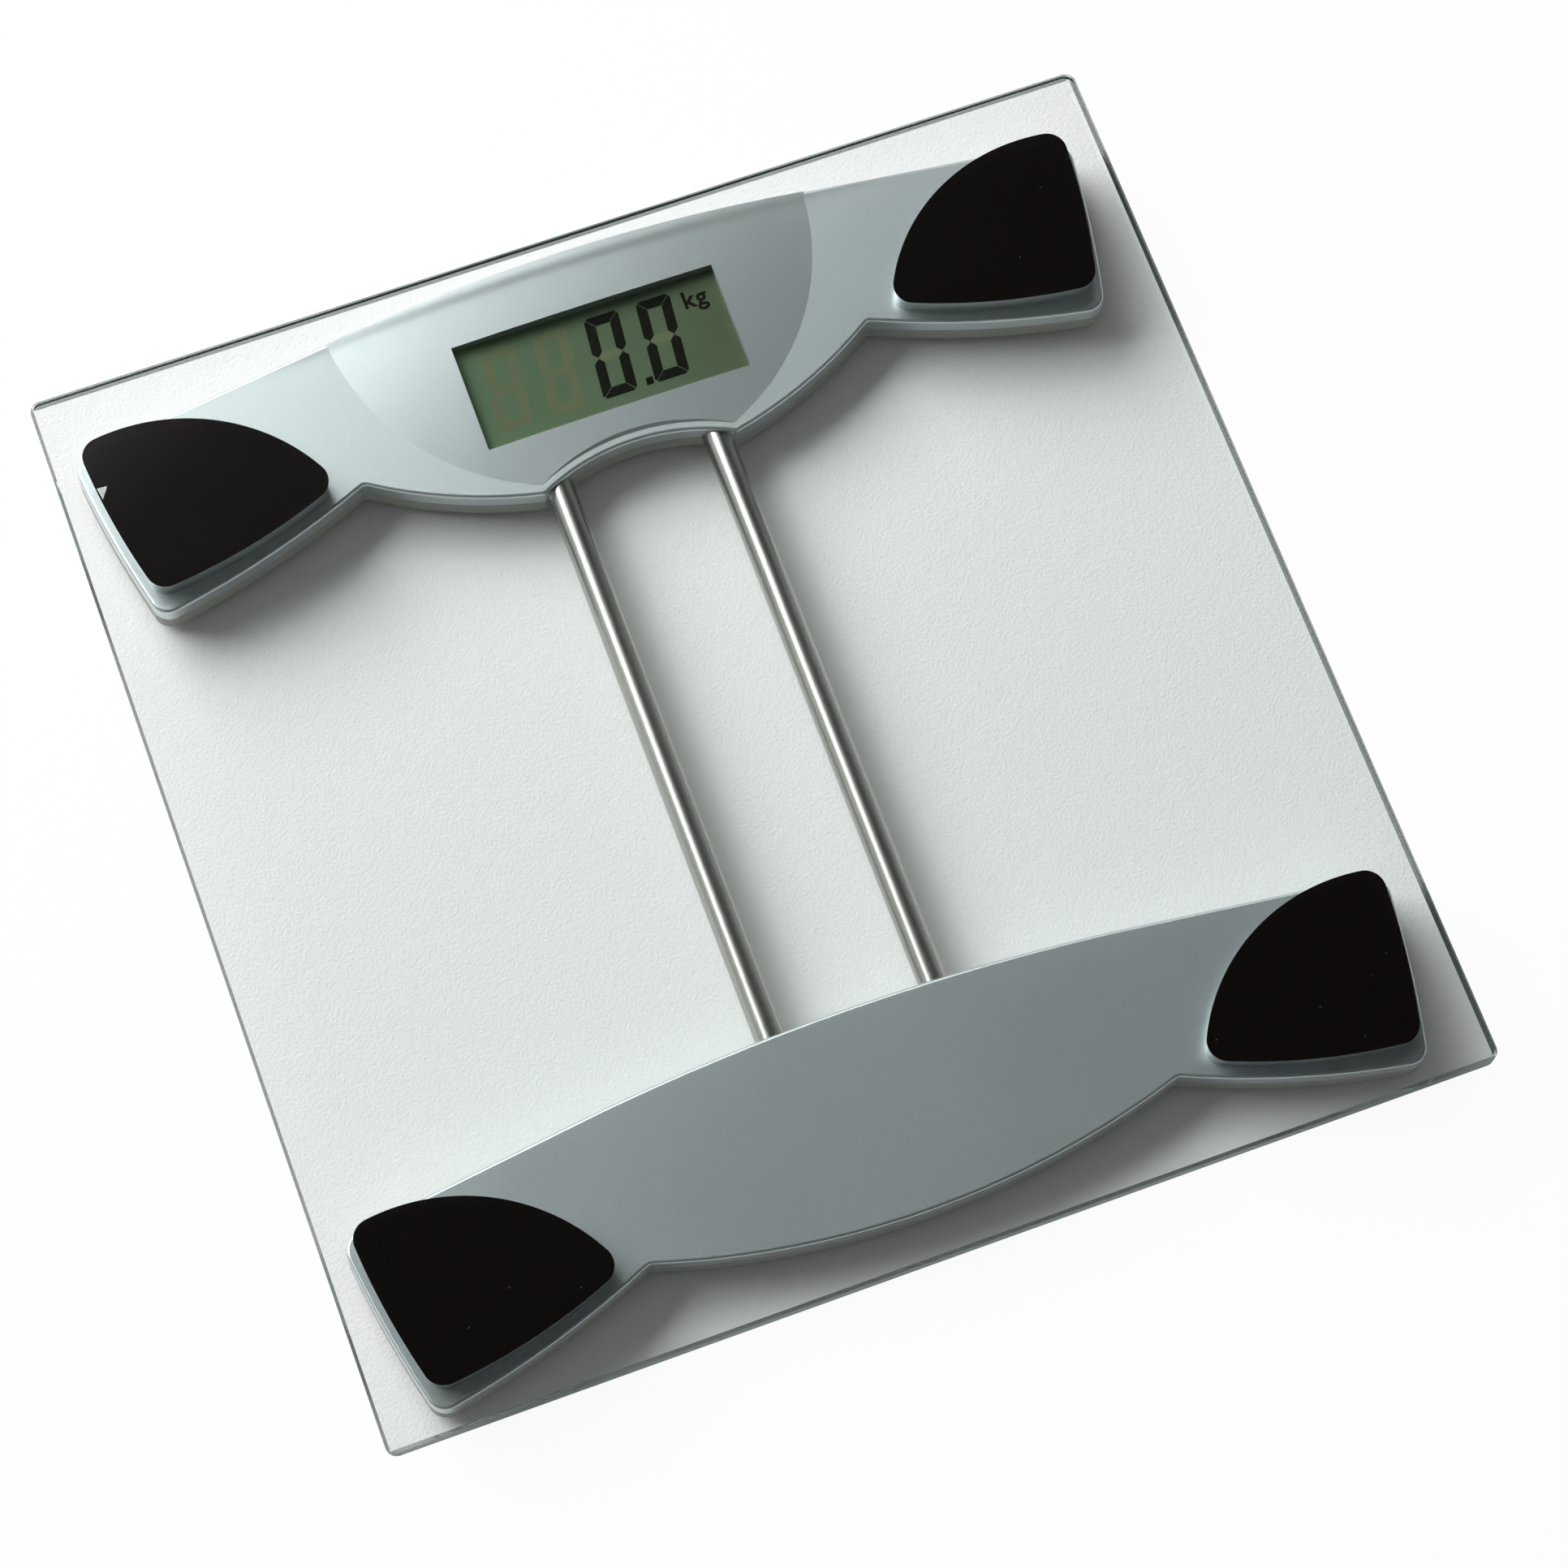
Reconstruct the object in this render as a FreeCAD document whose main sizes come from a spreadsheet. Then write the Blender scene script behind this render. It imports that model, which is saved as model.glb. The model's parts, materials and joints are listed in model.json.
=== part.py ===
"""Digital bathroom scale: a glass platform over two plastic housings that two steel tubes join.

Millimetres. The origin is on the floor under the middle of the platform, +Z up and +Y towards
the display. Every size is a cell of the sheet, and each piece is tied to the cells it follows.
"""
import FreeCAD, Part
import math
import os
import re
import Sketcher

Vector = FreeCAD.Vector
UP = Vector(0, 0, 1)
LEVEL_TURN = FreeCAD.Rotation(Vector(1, 0, 0), -90)  # turns an upright solid to lie along +Y
SIXTHS = [FreeCAD.Rotation(Vector(1, 0, 0), 60 * step) for step in range(7)]
SCREW_SIDES = 8
NEAR = 0.1
PICK_SHARE = 0.3

SIZES = {
    # glass platform
    "glass_width": 300.0, "glass_length": 300.0, "glass_thick": 6.0, "glass_corner": 3.0,
    "glass_bevel": 0.8,
    # stack from the floor upwards
    "foot_stand": 3.0, "base_depth": 5.2, "cover_depth": 5.2, "pedestal_height": 6.2,
    "pad_thick": 0.4,
    # housings: where they stand, and their walls
    "housing_pitch": 226.8, "wall": 1.8, "roof": 1.8, "base_floor": 1.6, "lip_height": 1.0,
    "lip_gap": 0.1, "top_round": 0.9,
    # plan of a housing, from its own centre: reaches to back and front, half widths and insets
    # from the ends, which lie one wing beyond the battery bay
    "rear_reach": 35.2, "rear_radius": 630.0, "knee_half": 70.0, "wing_length": 58.0,
    "end_reach": 21.9, "end_round": 6.0, "side_radius": 290.0, "toe_inset": 9.1,
    "toe_reach": 29.4, "toe_round": 5.0, "wing_radius": 255.0, "cusp_half": 72.3,
    "cusp_reach": 11.0, "cusp_round": 1.5, "lobe_radius": 128.8, "tip_half": 27.4,
    "tip_reach": 30.0, "tip_round": 1.2, "arch_radius": 59.4, "chin_radius": 239.0,
    # raised dome of the back cover, and the ledge in front of it
    "dome_rise": 2.3, "dome_radius": 69.0, "dome_back": 35.9, "dome_skirt": 0.5,
    "ledge_width": 2.4, "ledge_slope": 2.6,
    # plan of a black pad, with insets from the housing's end, and the pedestal under it
    "crown_inset": 2.7, "crown_reach": 21.8, "crown_radius": 53.4, "heel_inset": 10.3,
    "heel_reach": 24.5, "heel_radius": 162.0, "nose_inset": 64.9, "nose_reach": 10.7,
    "flank_radius": 200.0, "pad_round": 5.5, "pad_overhang": 0.7, "flange_height": 0.5,
    "pedestal_wall": 1.8, "pedestal_roof": 1.8,
    # tubes between the housings
    "tube_half": 22.6, "tube_radius": 4.0, "tube_wall": 0.8, "tube_back_end": 18.0,
    "tube_front_end": 20.0, "tube_gap": 0.05, "saddle_width": 12.0, "saddle_stop": 1.5,
    # load cells, gauges and feet
    "cell_inset": 32.0, "cell_back": 1.0, "cell_size": 34.0, "cell_thick": 2.6,
    "cell_round": 3.0, "cell_lift": 1.8, "cell_gap": 0.2, "cell_ledge": 3.0, "cell_rib": 1.2,
    "slot_inset": 7.2, "slot_width": 2.4, "gauge_size": 4.0, "gauge_length": 8.0,
    "gauge_height": 1.8, "foot_radius": 12.5, "foot_gap": 0.5, "foot_disc": 2.0,
    "neck_radius": 4.5, "spigot_radius": 2.4, "spigot_gap": 0.1, "sole_radius": 11.0,
    "sole_thick": 2.0, "sole_recess": 0.4,
    # screws and their bosses
    "screw_radius": 1.3, "head_radius": 2.6, "head_height": 1.4, "thread_gap": 0.05,
    "shank_gap": 0.2, "head_sink": 0.4, "tip_gap": 0.3, "boss_radius": 3.5,
    "case_screw_reach": 6.0, "pedestal_screw_reach": 5.4,
    "pedestal_screw_spread": 21.5, "pedestal_boss": 3.2, "back_boss_half": 44.0,
    "back_boss_reach": 26.5, "front_boss_gap": 9.6, "front_boss_reach": 8.0,
    # display and circuit board
    "window_width": 75.0, "window_length": 31.3, "window_back": 2.65, "skirt_wall": 2.0,
    "lcd_depth": 1.2, "lcd_thick": 2.8, "lcd_rim": 2.0, "board_edge": 3.0,
    "board_front": 12.0, "board_rear": 22.0, "board_thick": 1.2, "strip_width": 2.0,
    "strip_back": 17.5, "strip_inset": 3.5, "post_gap": 1.1, "post_front": 8.5,
    "post_rear": 16.0, "post_radius": 2.4, "board_screw_radius": 0.8,
    "board_screw_head": 1.6, "board_screw_cap": 1.0, "board_screw_reach": 2.6,
    "chip_half": 6.0, "chip_height": 1.0, "chip_x": 5.0, "chip_y": 6.0,
    # unit button and its switch
    "button_x": 32.0, "button_y": 6.0, "button_radius": 3.2, "button_gap": 0.1,
    "button_stand": 0.4, "button_flange": 4.6, "flange_thick": 0.6, "button_pocket": 0.6,
    "button_travel": 0.4, "switch_size": 6.2, "switch_height": 1.7, "plunger_radius": 1.5,
    "plunger_gap": 0.1, "plunger_height": 1.2,
    # coin cell, its bay, door and contacts
    "bay_gap": 6.0, "coin_back": 9.0, "coin_radius": 10.0, "coin_thick": 3.2,
    "coin_gap": 0.2, "bay_radius": 17.0, "door_radius": 13.0, "door_gap": 0.1,
    "lug_reach": 15.2, "lug_width": 6.0, "lug_thick": 0.85, "lug_lift": 0.1,
    "lug_room": 0.3, "door_turn": 60.0, "coin_slot_width": 2.0, "coin_slot_depth": 0.8,
    "coin_slot_length": 18.0,
    "contact_thick": 0.3, "contact_width": 5.0, "contact_overlap": 3.0,
    # wires
    "wire_radius": 0.9, "wire_bend": 6.0, "wire_drop": 1.6, "wire_lane": 4.0, "wire_gap": 0.2,
    "wire_dip_end": 5.0, "notch_width": 4.0, "notch_depth": 4.0,
}

doc = FreeCAD.newDocument("bathroom_scale")
nodes = []
sheet = doc.addObject("Spreadsheet::Sheet", "sizes")
for row, (name, size) in enumerate(SIZES.items(), start=1):
    sheet.set(f"A{row}", name)
    sheet.set(f"B{row}", str(size))
    sheet.setAlias(f"B{row}", name)
doc.recompute()

# Levels above the floor
SPLIT = "(foot_stand + base_depth)"
COVER_TOP = f"({SPLIT} + cover_depth)"
ROOF_UNDER = f"({COVER_TOP} - roof)"
PAD_BOTTOM = f"({COVER_TOP} + pedestal_height)"
GLASS_BOTTOM = f"({PAD_BOTTOM} + pad_thick)"
FLOOR_TOP = "(foot_stand + base_floor)"
SKY = f"({COVER_TOP} + 4 * dome_rise)"
CELL_BOTTOM = f"({FLOOR_TOP} + cell_lift)"
CELL_TOP = f"({CELL_BOTTOM} + cell_thick)"
LUG_TOP = f"({FLOOR_TOP} + lug_lift + lug_thick)"
COIN_BOTTOM = f"({FLOOR_TOP} + lug_room)"
COIN_TOP = f"({COIN_BOTTOM} + coin_thick)"
BOARD_TOP = COIN_TOP
BOARD_BOTTOM = f"({BOARD_TOP} - board_thick)"
LCD_TOP = f"({COVER_TOP} - lcd_depth)"
LCD_BOTTOM = f"({LCD_TOP} - lcd_thick)"
WIRE_LEVEL = f"({CELL_TOP} + wire_radius + wire_gap)"

# Places across a housing, from its middle outwards
POST_HALF = "(window_width / 2 + lcd_rim + post_gap + post_radius)"
BOARD_HALF = f"({POST_HALF} + board_edge)"
COIN_HALF = f"({BOARD_HALF} + bay_gap + bay_radius)"
END_HALF = f"({COIN_HALF} + bay_radius + wing_length)"
CELL_HALF = f"({END_HALF} - cell_inset)"
SEAT_HALF = "(cell_size / 2 + cell_gap + cell_rib)"

# Plan of the dome and of the arch in front of it
SPHERE_RADIUS = "((dome_radius ^ 2 + dome_rise ^ 2) / (2 * dome_rise))"
ARCH_CENTRE = "(-tip_reach - sqrt(arch_radius ^ 2 - tip_half ^ 2))"
LEDGE_RADIUS = "(arch_radius + ledge_width)"
KNEE_REACH = "(rear_reach - rear_radius + sqrt(rear_radius ^ 2 - knee_half ^ 2))"


def tied(formula):
    """Spell a formula in sheet names as an expression of the document."""
    return re.sub(r"[a-z]\w*", lambda word: f"sizes.{word[0]}" if word[0] in SIZES else word[0],
                  formula)


def value(formula):
    return float(sheet.evalExpression(tied(formula)))


def bind(thing, **formulas):
    for name, formula in formulas.items():
        thing.setExpression(name, tied(str(formula)))
    return thing


def place(thing, x=None, y=None, z=None):
    for axis, formula in zip("xyz", (x, y, z)):
        if formula is not None:
            thing.setExpression(f"Placement.Base.{axis}", tied(formula))
    return thing


def block(name, centre, size, z):
    """A box by its middle and size in plan, from one level to another."""
    box = doc.addObject("Part::Box", name)
    bind(box, Length=size[0], Width=size[1], Height=f"{z[1]} - ({z[0]})")
    return place(box, f"{centre[0]} - ({size[0]}) / 2", f"{centre[1]} - ({size[1]}) / 2", z[0])


def rod(name, centre, radius, z):
    """An upright cylinder from one level to another."""
    cylinder = doc.addObject("Part::Cylinder", name)
    bind(cylinder, Radius=radius, Height=f"{z[1]} - ({z[0]})")
    return place(cylinder, centre[0], centre[1], z[0])


def blank(name, centre, radius, z):
    """An upright eight-sided blank from one level to another."""
    stock = doc.addObject("Part::Prism", name)
    stock.Polygon = SCREW_SIDES
    bind(stock, Circumradius=radius, Height=f"{z[1]} - ({z[0]})")
    return place(stock, centre[0], centre[1], z[0])


def joined(name, pieces):
    if len(pieces) == 1:
        return pieces[0]
    fuse = doc.addObject("Part::MultiFuse", name)
    fuse.Shapes = pieces
    fuse.Refine = True
    return fuse


def cut(name, base, tools):
    result = doc.addObject("Part::Cut", name)
    result.Base = base
    result.Tool = joined(f"{name}_tools", tools)
    result.Refine = True
    return result


def common(name, base, tool):
    result = doc.addObject("Part::Common", name)
    result.Base = base
    result.Tool = tool
    return result


def closed_outline(sketch, corners):
    """Draw a closed outline of lines and arcs, and tie it to the sheet.

    Each corner is x, y, rounding, radius of the edge that leaves it (None for a straight one)
    and the side that edge bulges to: 1 for the left of the way round, -1 for the right.
    """
    points = [Vector(value(x), value(y), 0) for x, y, _, _, _ in corners]
    count = len(corners)
    for index, (_, _, _, radius, side) in enumerate(corners):
        start, end = points[index], points[(index + 1) % count]
        if radius is None:
            sketch.addGeometry(Part.LineSegment(start, end), False)
            continue
        chord = end - start
        left = Vector(-chord.y, chord.x, 0).normalize()
        centre = (start + end) * 0.5 - left * side * math.sqrt(value(radius) ** 2 - chord.Length ** 2 / 4)
        first, last = (end, start) if side > 0 else (start, end)
        turns = [math.atan2(point.y - centre.y, point.x - centre.x) for point in (first, last)]
        if turns[1] < turns[0]:
            turns[1] += 2 * math.pi
        sketch.addGeometry(Part.ArcOfCircle(Part.Circle(centre, UP, value(radius)), *turns), False)

    def tip(index, leaving):
        """Which end of an edge lies where the way round leaves it or arrives."""
        return (1 if leaving else 2) if corners[index % count][4] <= 0 else (2 if leaving else 1)

    for index in range(count):
        after = (index + 1) % count
        ends = (index, tip(index, False), after, tip(after, True))
        sketch.addConstraint(Sketcher.Constraint("Coincident", *ends))

    def tie(kind, targets, formula):
        number = sketch.addConstraint(Sketcher.Constraint(kind, *targets, value(formula)))
        sketch.setExpression(f"Constraints[{number}]", tied(formula))

    for index, (x, y, rounding, _, _) in enumerate(corners):
        before = (index - 1) % count
        where = (index, tip(index, True))
        if rounding is not None:
            reach = 2 * value(rounding)
            near = []
            for edge, end in ((before, tip(before, False)), (index, tip(index, True))):
                curve = sketch.Geometry[edge]
                low, high = curve.FirstParameter, curve.LastParameter
                step = (high - low) * min(PICK_SHARE, reach / curve.length())
                near.append(curve.value(low + step if end == 1 else high - step))
            sketch.fillet(before, index, near[0], near[1], value(rounding), True, False)
            tie("Radius", (len(sketch.Geometry) - 1,), rounding)
            mark = sketch.addGeometry(Part.Point(points[index]), True)
            sketch.addConstraint(Sketcher.Constraint("PointOnObject", mark, 1, before))
            sketch.addConstraint(Sketcher.Constraint("PointOnObject", mark, 1, index))
            where = (mark, 1)
        tie("DistanceX", (-1, 1, *where), x)
        tie("DistanceY", (-1, 1, *where), y)
    for index, (_, _, _, radius, _) in enumerate(corners):
        if radius is not None:
            tie("Radius", (index,), radius)
    return sketch


def both_sides(half, rear_edge):
    """Close the right half of an outline, corner by corner clockwise, with its mirror image."""
    edges = [rear_edge] + [corner[3:] for corner in half[:-1]]
    mirrored = [(f"-({x})", y, rounding, *edge) for (x, y, rounding, _, _), edge in zip(half, edges)]
    return half + mirrored[::-1]


def sketch_outline(name, corners):
    return closed_outline(doc.addObject("Sketcher::SketchObject", name), corners)


def prism(name, plan, z, grow=None):
    """Extrude a plan from one level to another, grown or shrunk all round by an offset."""
    source = plan
    if grow is not None:
        source = doc.addObject("Part::Offset2D", f"{name}_plan")
        source.Source = plan
        source.Join = "Intersection"
        bind(source, Value=grow)
    solid = doc.addObject("Part::Extrusion", name)
    solid.Base = source
    solid.DirMode = "Custom"
    solid.Dir = UP
    solid.Solid = True
    bind(solid, LengthFwd=f"{z[1]} - ({z[0]})")
    return place(solid, z=z[0])


def bar(name, x, radius, y, level):
    """A level cylinder along Y, from one place to another."""
    cylinder = doc.addObject("Part::Cylinder", name)
    cylinder.Placement = FreeCAD.Placement(Vector(), LEVEL_TURN)
    bind(cylinder, Radius=radius, Height=f"{y[1]} - ({y[0]})")
    return place(cylinder, x, y[0], level)


def rounded(name, slab, radius):
    """Round the rim round the top of a slab."""
    doc.recompute()
    size = value(radius)
    fillet = doc.addObject("Part::Fillet", name)
    fillet.Base = slab
    fillet.Edges = [(number, size, size) for number, edge in enumerate(slab.Shape.Edges, start=1)
                    if edge.BoundBox.ZMin > slab.Shape.BoundBox.ZMax - NEAR]
    return fillet


def node(thing, label, y=None):
    """Name a finished piece and stand it at its own place along the platform."""
    thing.Label = label
    nodes.append(thing)
    return place(thing, y=y)


# Plans ----------------------------------------------------------------------------------------
WING = [
    ("knee_half", KNEE_REACH, None, None, 0),
    (END_HALF, "end_reach", "end_round", "side_radius", 1),
    (f"({END_HALF} - toe_inset)", "-toe_reach", "toe_round", "wing_radius", 1),
]
REAR_EDGE = ("rear_radius", 1)
back_plan = sketch_outline("back_plan", both_sides(WING + [
    ("cusp_half", "-cusp_reach", "cusp_round", "lobe_radius", 1),
    ("tip_half", "-tip_reach", "tip_round", "arch_radius", -1),
], REAR_EDGE))
front_plan = sketch_outline("front_plan", both_sides(WING + [
    ("cusp_half", "-cusp_reach", "cusp_round", "chin_radius", 1),
], REAR_EDGE))
SIDES = {"left": -1, "right": 1}
pad_plans = {
    side: sketch_outline(f"pad_plan_{side}", [
        (f"{sign} * ({END_HALF} - nose_inset)", "-nose_reach", "pad_round", "crown_radius", sign),
        (f"{sign} * ({END_HALF} - crown_inset)", "crown_reach", "pad_round", "flank_radius", sign),
        (f"{sign} * ({END_HALF} - heel_inset)", "-heel_reach", "pad_round", "heel_radius", sign),
    ])
    for side, sign in SIDES.items()
}
ENDS = {"back": "housing_pitch / 2", "front": "-housing_pitch / 2"}
PLANS = {"back": back_plan, "front": front_plan}

# Screws: places in a housing, from its centre
FRONT_BOSS_HALF = f"({CELL_HALF} - {SEAT_HALF} - front_boss_gap)"
CASE_SCREWS = [
    (f"{sign} * {half}", reach)
    for sign in SIDES.values()
    for half, reach in (("back_boss_half", "back_boss_reach"), (FRONT_BOSS_HALF, "-front_boss_reach"))
]
PEDESTAL_SCREWS = {
    side: [(f"{sign} * ({CELL_HALF} + {way} * pedestal_screw_spread)", "cell_back") for way in (-1, 1)]
    for side, sign in SIDES.items()
}
BOARD_SCREWS = [(f"{sign} * {POST_HALF}", reach)
                for sign in SIDES.values() for reach in ("-post_front", "post_rear")]
HEAD_SEAT = "(foot_stand + head_height + head_sink)"
CASE_SCREW_TIP = f"({HEAD_SEAT} + case_screw_reach)"
PEDESTAL_SCREW_TIP = f"({ROOF_UNDER} + pedestal_screw_reach)"
BOARD_SCREW_TIP = f"({BOARD_BOTTOM} + board_thick + board_screw_reach)"


def screws(label, places, seat, tip, radius, head_radius, head_height, y):
    """Upright screw blanks with their heads below, one solid each in a single group."""
    pieces = []
    for number, centre in enumerate(places, start=1):
        head = blank(f"{label}_head_{number}", centre, head_radius, (f"{seat} - {head_height}", seat))
        shank = blank(f"{label}_shank_{number}", centre, radius, (seat, tip))
        pieces.append(joined(f"{label}_{number}", [head, shank]))
    group = doc.addObject("Part::Compound", label)
    group.Links = pieces
    return node(group, label, y)


# Glass platform -------------------------------------------------------------------------------
def origin_plane(body, role):
    return next(feature for feature in body.Origin.OriginFeatures if feature.Role == role)


def body_sketch(body, name, corners, role="XY_Plane"):
    sketch = body.newObject("Sketcher::SketchObject", name)
    sketch.AttachmentSupport = [(origin_plane(body, role), "")]
    sketch.MapMode = "FlatFace"
    return closed_outline(sketch, corners)


def rectangle(half_width, half_length, rounding):
    corners = [(-1, 1), (1, 1), (1, -1), (-1, -1)]
    return [(f"{x} * {half_width}", f"{y} * {half_length}", rounding, None, 0) for x, y in corners]


def pad_feature(body, name, sketch, length):
    pad = body.newObject("PartDesign::Pad", name)
    pad.Profile = sketch
    return bind(pad, Length=length)


platform = doc.addObject("PartDesign::Body", "glass_platform")
platform_plan = body_sketch(platform, "platform_plan", rectangle("(glass_width / 2)", "(glass_length / 2)",
                                                              "glass_corner"))
pane = pad_feature(platform, "pane", platform_plan, "glass_thick")
doc.recompute()
bevel = platform.newObject("PartDesign::Chamfer", "bevel")
bevel.Base = (pane, [f"Edge{number}" for number, edge in enumerate(pane.Shape.Edges, start=1)
                     if edge.BoundBox.ZMax - edge.BoundBox.ZMin < NEAR])
bind(bevel, Size="glass_bevel")
platform.Tip = bevel
node(platform, "glass_platform")
place(platform, z=GLASS_BOTTOM)


# Housings -------------------------------------------------------------------------------------
def square(name, centre, size, z):
    return block(name, centre, (size, size), z)


def tube_span(end):
    """Where a tube lies inside a housing, from its open wall to its inner end."""
    if end == "back":
        return "-tip_reach", "-tube_back_end"
    return "tube_front_end", "rear_reach"


def saddles(name, end, z):
    """The blocks that hold the tubes' ends, each up to a stop behind the tube."""
    low, high = tube_span(end)
    low, high = (low, f"{high} + saddle_stop") if end == "back" else (f"{low} - saddle_stop", high)
    return [block(f"{name}_saddle_{side}", (f"{sign} * tube_half", f"(({low}) + ({high})) / 2"),
                  ("saddle_width", f"{high} - ({low})"), z) for side, sign in SIDES.items()]


def tube_bores(name, end):
    """Room for the tubes' ends, and for the wires through the stops."""
    low, high = tube_span(end)
    outer = (f"{low} - wall", high) if end == "back" else (low, f"{high} + wall")
    inner = (low, f"{high} + 2 * saddle_stop") if end == "back" else (f"{low} - 2 * saddle_stop", high)
    bores = []
    for side, sign in SIDES.items():
        x = f"{sign} * tube_half"
        bores.append(bar(f"{name}_bore_{side}", x, "tube_radius + tube_gap", outer, SPLIT))
        bores.append(bar(f"{name}_eye_{side}", x, "tube_radius - tube_wall", inner, SPLIT))
    return bores


def ring(name, plan, outer, inner, z):
    return cut(name, prism(f"{name}_outer", plan, z, outer), [prism(f"{name}_inner", plan, z, inner)])


def cover_outside(end):
    """A flat slab with a rounded rim, and at the back a dome on it that a ledge keeps off the arch."""
    plan = PLANS[end]
    slab = rounded(f"{end}_top", prism(f"{end}_slab", plan, (SPLIT, COVER_TOP)), "top_round")
    if end == "front":
        return slab
    height = (f"{COVER_TOP} - top_round", SKY)
    arch = ("0", ARCH_CENTRE)
    bulge = common("bulge", prism("dome_block", plan, height), dome_ball("dome_ball", "0"))
    dome = common("dome", bulge, rod("dome_zone", ("0", "dome_back"), "dome_radius + dome_skirt", height))
    ledge = doc.addObject("Part::Cone", "ledge")
    bind(ledge, Radius1=LEDGE_RADIUS, Radius2=f"{LEDGE_RADIUS} + ledge_slope", Height="dome_rise")
    place(ledge, *arch, COVER_TOP)
    inset = cut("inset_dome", dome, [rod("arch_zone", arch, LEDGE_RADIUS, height), ledge])
    return joined("domed_slab", [slab, inset])


def dome_ball(name, sunk):
    """The sphere that the dome is a part of, with its poles far from it, on the level."""
    ball = doc.addObject("Part::Sphere", name)
    ball.Placement = FreeCAD.Placement(Vector(), LEVEL_TURN)
    bind(ball, Radius=SPHERE_RADIUS)
    return place(ball, "0", "dome_back", f"{COVER_TOP} + dome_rise - {SPHERE_RADIUS} - {sunk}")


def cover(end):
    """The upper shell: roof, side walls and everything that hangs from the roof."""
    plan = PLANS[end]
    name = f"{end}_cover"
    hollow = prism(f"{name}_hollow", plan, (SPLIT, ROOF_UNDER), "-wall")
    if end == "back":
        vault = prism(f"{name}_vault", plan, (f"{ROOF_UNDER} - roof", SKY), "-wall")
        under_dome = common(f"{name}_dome", vault, dome_ball("inner_ball", "roof"))
        hollow = joined(f"{name}_room", [hollow, under_dome])
    islands = saddles(name, end, (SPLIT, SKY))
    islands += [rod(f"{name}_boss_{number}", centre, "boss_radius", (SPLIT, SKY))
                for number, centre in enumerate(CASE_SCREWS)]
    for side, sign in SIDES.items():
        for edge in (-1, 1):
            islands.append(block(
                f"{name}_rib_{side}_{'back' if edge > 0 else 'front'}",
                (f"{sign} * {CELL_HALF}", f"cell_back + {edge} * (cell_size - cell_ledge) / 2"),
                ("cell_size - 2 * cell_round", "cell_rib"), (CELL_TOP, SKY)))
    holes = tube_bores(name, end)
    holes += [rod(f"{name}_pilot_{number}", centre, "screw_radius + thread_gap",
                  (f"{SPLIT} - lip_height", f"{CASE_SCREW_TIP} + tip_gap"))
              for number, centre in enumerate(CASE_SCREWS)]
    holes += [rod(f"{name}_hole_{side}_{number}", centre, "screw_radius + shank_gap",
                  (f"{ROOF_UNDER} - lip_height", f"{COVER_TOP} + lip_height"))
              for side in SIDES for number, centre in enumerate(PEDESTAL_SCREWS[side])]
    holes.append(ring(f"{name}_rebate", plan, "-wall / 2", "-wall - lip_gap",
                      (SPLIT, f"{SPLIT} + lip_height + lip_gap")))
    if end == "back":
        window = ("0", "window_back")
        islands.append(block(f"{name}_skirt", window, ("window_width + 2 * skirt_wall",
                                                       "window_length + 2 * skirt_wall"), (LCD_TOP, SKY)))
        islands += [rod(f"{name}_post_{number}", centre, "post_radius", (BOARD_TOP, SKY))
                    for number, centre in enumerate(BOARD_SCREWS)]
        holes.append(block(f"{name}_window", window, ("window_width", "window_length"), (BOARD_TOP, SKY)))
        holes.append(block(f"{name}_lcd_room", window, (
            "window_width + 2 * (lcd_rim + lip_gap)", "window_length + 2 * (lcd_rim + lip_gap)"),
            (BOARD_TOP, LCD_TOP)))
        holes += [rod(f"{name}_post_hole_{number}", centre, "board_screw_radius + thread_gap",
                      (f"{BOARD_TOP} - board_thick", f"{BOARD_SCREW_TIP} + tip_gap"))
                  for number, centre in enumerate(BOARD_SCREWS)]
    room = cut(f"{name}_room_left", hollow, islands)
    return node(cut(name, cover_outside(end), [room] + holes), name, ENDS[end])


FLANGE_BOTTOM = f"({FLOOR_TOP} - button_pocket)"
FLANGE_TOP = f"({FLANGE_BOTTOM} + flange_thick)"
COIN = (f"-{COIN_HALF}", "coin_back")
COIN_REAR = "(coin_back + coin_radius)"
LEG_HALF = "(contact_width / 2)"


def coin_bay(name):
    """The well for the coin cell, with the room and the entries that the door's lugs need."""
    lugs = ("0", f"{LUG_TOP} + lug_room")
    well = rod(f"{name}_bay", COIN, "bay_radius", (FLOOR_TOP, COIN_TOP))
    notch = block(f"{name}_notch", ("0", "0"), ("2 * bay_radius", "lug_width + 2 * lug_room"), lugs)
    turned = doc.addObject("Part::Compound", f"{name}_turned_notch")
    turned.Links = [notch]
    turned.Placement = FreeCAD.Placement(Vector(), FreeCAD.Rotation(UP, value("door_turn")))
    bind(place(turned, *COIN), **{"Placement.Rotation.Angle": "door_turn"})
    reach = rod(f"{name}_notch_reach", COIN, "lug_reach + lug_room", lugs)
    holes = [
        rod(f"{name}_door_hole", COIN, "door_radius + door_gap", lugs),
        rod(f"{name}_lug_room", COIN, "lug_reach + lug_room", (FLOOR_TOP, lugs[1])),
        rod(f"{name}_coin_room", COIN, "coin_radius + coin_gap", (FLOOR_TOP, SKY)),
        block(f"{name}_leg_room", (COIN[0], COIN_REAR), (
            "contact_width + 2 * coin_gap", "2 * (contact_thick + coin_gap)"), (LUG_TOP, SKY)),
        common(f"{name}_entries", turned, reach),
    ]
    return [well], holes


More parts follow.
